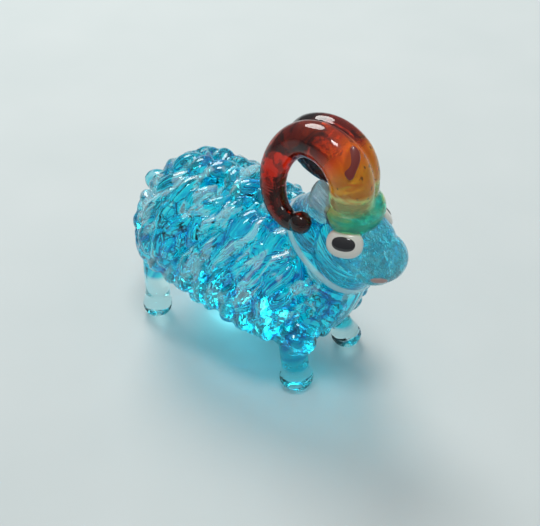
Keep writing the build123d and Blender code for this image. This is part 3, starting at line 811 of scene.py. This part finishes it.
legForms = [makeLeg(*leg) for leg in legs.values()]
legNodes = [kind + side for kind in ("rear_leg", "front_leg", "front_foot") for side in ("_right", "_left")]
skin = {"voxel": 0.217 * mm, "relax": 1, "evenRounds": 16}
glassSkin = meltTogether("glassSkin", fleeceForms + headForms + legForms, skin["voxel"], skin["relax"])


# How far each point stands over its surroundings, in millimetres: its height over the core, less
# the same height evened out along the mesh's edges. The core's own profile is a straight part
# with rounded ends, where the height is the distance to the rounding's circle.
def measureRelief(mesh):
    offset = meshPoints(mesh) - coreMiddle
    along = offset @ coreAxis
    radial = np.linalg.norm(offset - along[:, None] * coreAxis, axis=1)
    past = np.maximum(np.abs(along) - core["halfLength"] + core["rounding"], 0)
    flat = core["radius"] - core["rounding"]
    atEnds = np.hypot(past, np.maximum(radial - flat, 0)) - core["rounding"]
    height = np.where(past > 0, atEnds, radial - core["radius"])
    edges = np.empty(len(mesh.edges) * 2, dtype=np.int32)
    mesh.edges.foreach_get("vertices", edges)
    first, second = edges.reshape(-1, 2).T
    count = len(height)
    neighbours = np.bincount(edges, minlength=count)
    even = height
    for _ in range(skin["evenRounds"]):
        total = np.bincount(first, even[second], count) + np.bincount(second, even[first], count)
        even = 0.5 * even + 0.5 * total / neighbours
    writeAttribute(mesh, "relief", (height - even) / mm)


# The aqua glass reads this relief to paint shade into the fleece's grooves.
measureRelief(glassSkin.data)
dress(
    glassSkin, aquaGlass, "blue_glass", "body_core", "tail", "wool_ridge", "wool_rump", *woolNodes,
    "head", "neck", "muzzle", "ear_right", "ear_left", *legNodes,
)
print("stage: skin with", len(glassSkin.data.polygons), "faces")

horn = {
    "rootX": 11.0, "rootZ": 25.7, "shank": 1.6, "radii": (4.15, 4.5, 2.9), "turns": (95.0, 125.0, 80.0),
    "rootRadius": 2.3, "tipRadius": 0.95, "ball": 1.2, "tipSpread": 4.6,
    "spreadFrom": 0.42, "taperFrom": 0.2, "darkensFrom": 0.2,
    "near": {"curl": 1.0, "back": 0.0, "spread": 1.25, "girth": 1.0, "side": 1, "darkens": 1.0},
    "far": {"curl": 0.97, "back": 0.45, "spread": 0.95, "girth": 0.88, "side": -1, "darkens": 3.2},
    "collar": ((10.8, 0, 24.0), (2.95, 3.6, 2.35)), "voxel": 0.15 * mm, "relax": 3,
}


# The horn's middle line: straight up the shank, then three arcs that curl backwards; from
# spreadFrom on it swings outwards by 3 e^2 - 2 e^3 of the way.
def hornLine(kind, count):
    share = np.linspace(0, 1, count)
    radii = np.array(horn["radii"]) * kind["curl"]
    turns = np.radians(horn["turns"])
    left = share * (horn["shank"] + np.sum(radii * turns))
    rise = np.minimum(left, horn["shank"])
    x = np.full(count, horn["rootX"] - kind["back"])
    z = horn["rootZ"] + rise
    left = left - rise
    heading = np.full(count, pi / 2)
    for radius, turn in zip(radii, turns):
        reached = heading + np.minimum(left / radius, turn)
        x = x + radius * (np.sin(reached) - np.sin(heading))
        z = z - radius * (np.cos(reached) - np.cos(heading))
        left = left - radius * (reached - heading)
        heading = reached
    ease = np.clip((share - horn["spreadFrom"]) / (1 - horn["spreadFrom"]), 0, 1)
    y = kind["spread"] + (horn["tipSpread"] - kind["spread"]) * ease * ease * (3 - 2 * ease)
    return share, np.stack([x, -y, z], axis=-1)


# A round tube along the horn's line, thinner from taperFrom to the tip, with a ball at its end.
def makeHorn(kind, steps=120, around=40):
    share, line = hornLine(kind, steps)
    ease = np.clip((share - horn["taperFrom"]) / (1 - horn["taperFrom"]), 0, 1)
    radius = (horn["rootRadius"] + (horn["tipRadius"] - horn["rootRadius"]) * ease) * kind["girth"]
    points, quads, tris = makeTube(line, radius, np.array([0.0, 1.0, 0.0]), around)
    ball = makeEgg(line[-1], (horn["ball"] * kind["girth"],) * 3, 0.0, 20, 24)
    return joinForms([(points * mm, quads, tris), ball])


# The share of the horn's length that is nearest to each point of the skin. Past the shank the
# far horn's share runs ahead, so that it darkens sooner.
def measureShare(mesh, steps=160):
    points = meshPoints(mesh) / mm
    shares = np.empty(len(points))
    right, start = points[:, 1] < 0, horn["darkensFrom"]
    for here, kind in ((right, horn["near"]), (~right, horn["far"])):
        share, line = hornLine(kind, steps)
        gap = points[here][:, None] - (line * np.array([1, kind["side"], 1]))[None]
        share = np.where(share < start, share, start + (share - start) * kind["darkens"])
        shares[here] = np.minimum(share, 1)[np.argmin(np.einsum("ijk,ijk->ij", gap, gap), axis=1)]
    writeAttribute(mesh, "share", shares)


hornForms = [makeHorn(horn["near"]), mirrored(makeHorn(horn["far"])), makeEgg(*horn["collar"])]
hornPair = meltTogether("hornPair", hornForms, horn["voxel"], horn["relax"])
measureShare(hornPair.data)
dress(hornPair, hornGlass, "amber_glass", "horn_right", "horn_left", "horn_collar")

# Two flakes of dark glass inside the near shank: a drop and a thin line under it.
flakes = {
    "centre": ((11.38, -2.15, 31.25), (12.0, -2.62, 29.16)),
    "along": ((-0.82, 1.6, 2.09), (1.31, 1.22, 0.0)), "outward": (0.456, -0.615, 0.643),
    "size": ((3.4, 1.5, 0.5, 0.12), (2.1, 0.22, 0.2, 0.03)),  # length, width, thickness and sway of each
}
length, width, thick, sway = np.array(flakes["size"]).T * mm
flakeForm = makePods(
    np.array(flakes["centre"]) * mm, unit(np.array(flakes["along"])), np.array([flakes["outward"]] * 2),
    length, width, thick, np.zeros(2), sway, 16, 16, 0.5,
)
dress(makePiece("hornFlakes", *flakeForm), rustGlass, "amber_glass")
print("stage: horns with", len(hornPair.data.polygons), "faces")

eye = {
    "azimuth": radians(70), "elevation": radians(32), "roll": radians(1), "skull": (10.5, 0, 19.8),
    "seat": 3.95, "ring": (3.9, 3.1, 0.95, 2.3),
    "pupilLift": 0.72, "pupil": (2.45, 1.6, 0.3, 2.2),  # length, height, depth and squareness
}
level = cos(eye["elevation"])
eyeOut = np.array([level * cos(eye["azimuth"]), -level * sin(eye["azimuth"]), sin(eye["elevation"])])
eyeAlong = np.array([sin(eye["azimuth"]), cos(eye["azimuth"]), 0.0])
eyeUp = np.cross(eyeOut, eyeAlong)
eyeLong = eyeAlong * cos(eye["roll"]) + eyeUp * sin(eye["roll"])
eyeHigh = np.cross(eyeOut, eyeLong)


# A bead on the plane of the eye: an egg whose outline is a little square, so that its points are
# where |cos|^square + |sin|^square is 1.
def makeBead(centre, length, height, depth, square, rings=28, around=48):
    t = pi * (np.arange(rings) + 1) / (rings + 1)
    angle = 2 * pi * np.arange(around) / around
    c, s = np.cos(angle), np.sin(angle)
    bulge = (np.abs(c) ** square + np.abs(s) ** square) ** (-1 / square)
    u = np.sin(t)[:, None] * (c * bulge)[None] * length / 2
    v = np.sin(t)[:, None] * (s * bulge)[None] * height / 2
    w = np.broadcast_to(np.cos(t)[:, None] * depth, u.shape)
    ball = eyeLong * u[..., None] + eyeHigh * v[..., None] + eyeOut * w[..., None]
    ball = np.concatenate([[eyeOut * depth], ball.reshape(-1, 3), [-eyeOut * depth]])
    quads, tris = ringFaces(rings, around)
    return (ball + centre) * mm, quads[:, ::-1], tris[:, ::-1]


eyeSeat = np.array(eye["skull"]) + eyeOut * eye["seat"]
pupilSeat = eyeSeat + eyeOut * eye["pupilLift"]
eyeForm = makeBead(eyeSeat, *eye["ring"])
pupilForm = makeBead(pupilSeat, *eye["pupil"])
for side, turned in (("Right", lambda form: form), ("Left", mirrored)):
    dress(makePiece("eye" + side, *turned(eyeForm)), whiteGlass, "white_glass", "eye_" + side.lower())
    dress(makePiece("pupil" + side, *turned(pupilForm)), blackGlass, "black_glass", "pupil_" + side.lower())

# The mouth: a long pink patch low on each side of the muzzle.
mouth = {
    "at": (15.5, -2.38, 18.36), "out": (0.513, -0.772, -0.375), "along": (0.833, 0.553, 0.0),
    "size": (1.8, 0.95, 0.5),
}
mouthSize = np.array([mouth["size"]]).T * mm
mouthForm = makePods(
    np.array([mouth["at"]]) * mm, np.array([mouth["along"]]), np.array([mouth["out"]]),
    *mouthSize, np.zeros(1), np.zeros(1), 16, 16, 0.5,
)
mouthPatch = makePiece("mouthPatch", *joinForms([mouthForm, mirrored(mouthForm)]))
dress(mouthPatch, pinkGlass, "pink_glass", "mouth")
print("stage: face")

ground = {
    "half": 1.2, "scale": 60.0, "roughness": 0.9,
    "dark": rgb(0.51, 0.57, 0.57), "pale": rgb(0.57, 0.62, 0.62),
}


def makeFloor():
    half = ground["half"]
    points = np.array([[-half, -half, 0], [half, -half, 0], [half, half, 0], [-half, half, 0]])
    floor = makePiece("floor", points, [[0, 1, 2, 3]], [])
    material, place, output = startMaterial("paleFloor")
    tone = place.mix(place.noise(ground["scale"]), ground["dark"], ground["pale"])
    matt = place.make("ShaderNodeBsdfPrincipled", {"Base Color": tone, "Roughness": ground["roughness"]})
    place.tree.links.new(matt.socket, output.inputs["Surface"])
    floor.data.materials.append(material)


# Two soft lamps, and a small aqua one that stands for the light which the glass body gathers
# into a spot on the floor under the belly. That one shines straight down and isn't seen.
lamps = {
    "windowBehind": {"at": (-0.22, 0.16, 0.30), "size": 0.22, "watts": 1.2, "tint": (1.0, 0.98, 0.95)},
    "above": {"at": (0.06, -0.05, 0.42), "size": 0.1, "watts": 0.5, "tint": (1.0, 1.0, 1.0)},
    "gathered": {"at": (-0.006, 0.0008, 0.002), "size": 0.004, "watts": 0.00014, "tint": (0.2, 0.9, 1.0)},
}
lampTarget = (0, 0, 0.012)


def makeLamp(name, at, size, watts, tint):
    data = bpy.data.lights.new(name, "AREA")
    data.shape = "DISK"
    data.size = size
    data.energy = watts
    data.color = tint
    light = bpy.data.objects.new(name, data)
    bpy.context.scene.collection.objects.link(light)
    light.location = at
    if name == "gathered":
        light.visible_camera = False
    else:
        towards = Vector(lampTarget) - Vector(at)
        light.rotation_euler = towards.to_track_quat("-Z", "Y").to_euler()


room = {
    "strength": 0.55,
    "sky": ((0.0, rgb(0.45, 0.48, 0.5)), (0.35, rgb(0.5, 0.53, 0.56)), (1.0, rgb(0.85, 0.88, 0.9))),
}


# A pale room that is brighter above.
def makeWorld():
    world = bpy.data.worlds.new("room")
    bpy.context.scene.world = world
    world.use_nodes = True
    tree = world.node_tree
    tree.nodes.clear()
    sky = Wire(tree).make("ShaderNodeTexCoord", out="Generated").axis("Z").ramp(room["sky"])
    light = sky.make("ShaderNodeBackground", {"Color": sky, "Strength": room["strength"]})
    output = tree.nodes.new("ShaderNodeOutputWorld")
    tree.links.new(light.socket, output.inputs["Surface"])


camera = {
    "at": (0.06545, -0.0885, 0.1038), "look": (-0.456, 0.615, -0.643), "lens": 84.87, "sensor": 36.0,
    "nearest": 0.005,
}


def makeCamera():
    data = bpy.data.cameras.new("camera")
    data.lens = camera["lens"]
    data.sensor_width = camera["sensor"]
    data.clip_start = camera["nearest"]
    eyepiece = bpy.data.objects.new("camera", data)
    bpy.context.scene.collection.objects.link(eyepiece)
    eyepiece.location = camera["at"]
    eyepiece.rotation_euler = Vector(camera["look"]).to_track_quat("-Z", "Y").to_euler()
    bpy.context.scene.camera = eyepiece


makeFloor()
for lampName, lamp in lamps.items():
    makeLamp(lampName, **lamp)
makeWorld()
makeCamera()
bpy.context.scene.view_settings.view_transform = "Standard"
print("stage: floor, light and camera")

print("stage: done")
